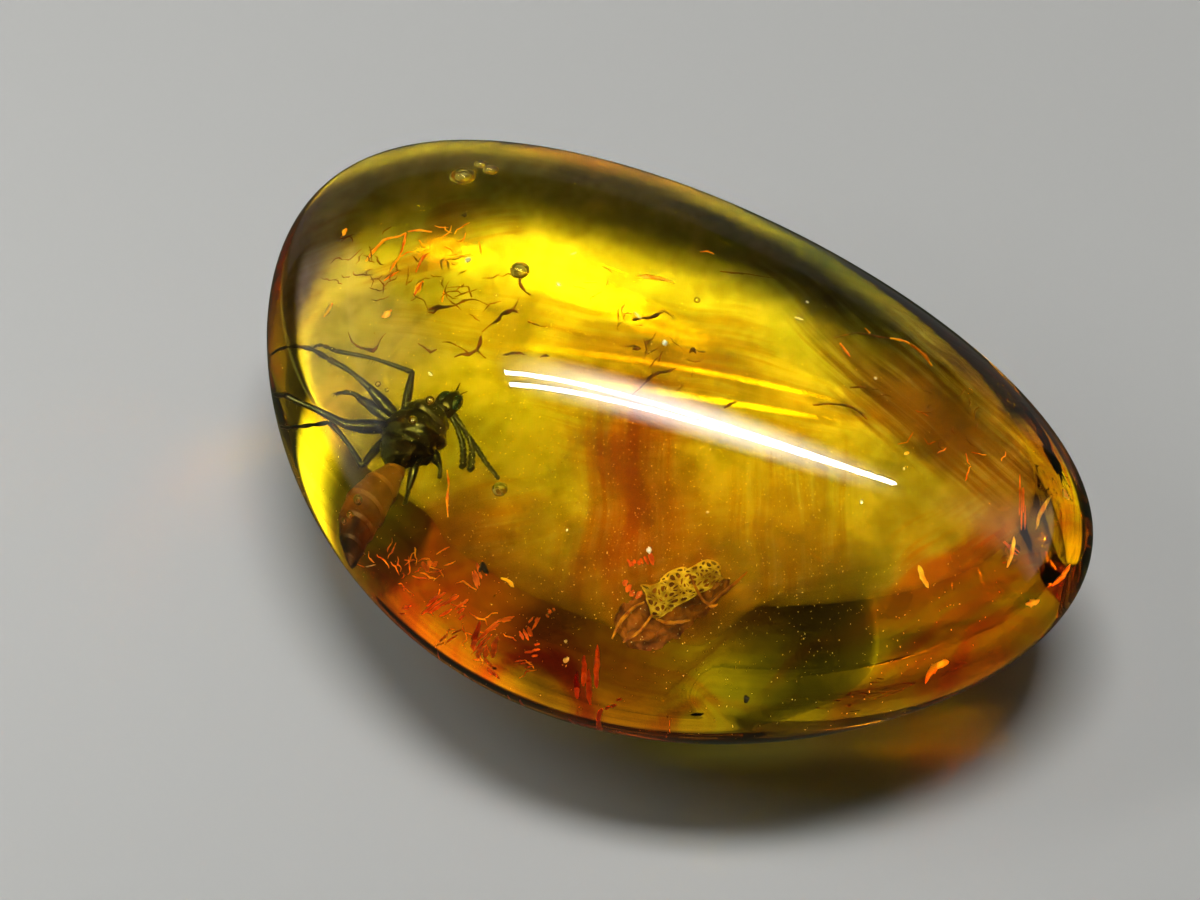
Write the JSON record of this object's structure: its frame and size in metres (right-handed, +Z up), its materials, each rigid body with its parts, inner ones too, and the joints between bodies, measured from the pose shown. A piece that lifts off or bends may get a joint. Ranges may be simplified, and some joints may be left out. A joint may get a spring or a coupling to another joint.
{
  "type": "insect in amber",
  "caption": "Polished drop of clear golden amber with a long-legged fly and a scrap of plant sealed inside, resting on a small flat on its underside.",
  "frame": {"origin": "centre of the drop's outline, on the surface that it lies on", "axes": "+X along the drop from its thick blunt end, which holds the insect, to its thin end; +Z up from the flat that it rests on"},
  "size_m": [0.03, 0.02, 0.013],
  "materials": {
    "amber": "clear fossil resin, hand polished, honey yellow to orange",
    "chitin": "dark brown insect cuticle, half carbonised",
    "plant": "dry brown plant tissue"
  },
  "bodies": {
    "root": {"amber_upper": "amber", "amber_lower": "amber", "insect": "chitin", "plant_fragment": "plant"}
  },
  "joints": []
}
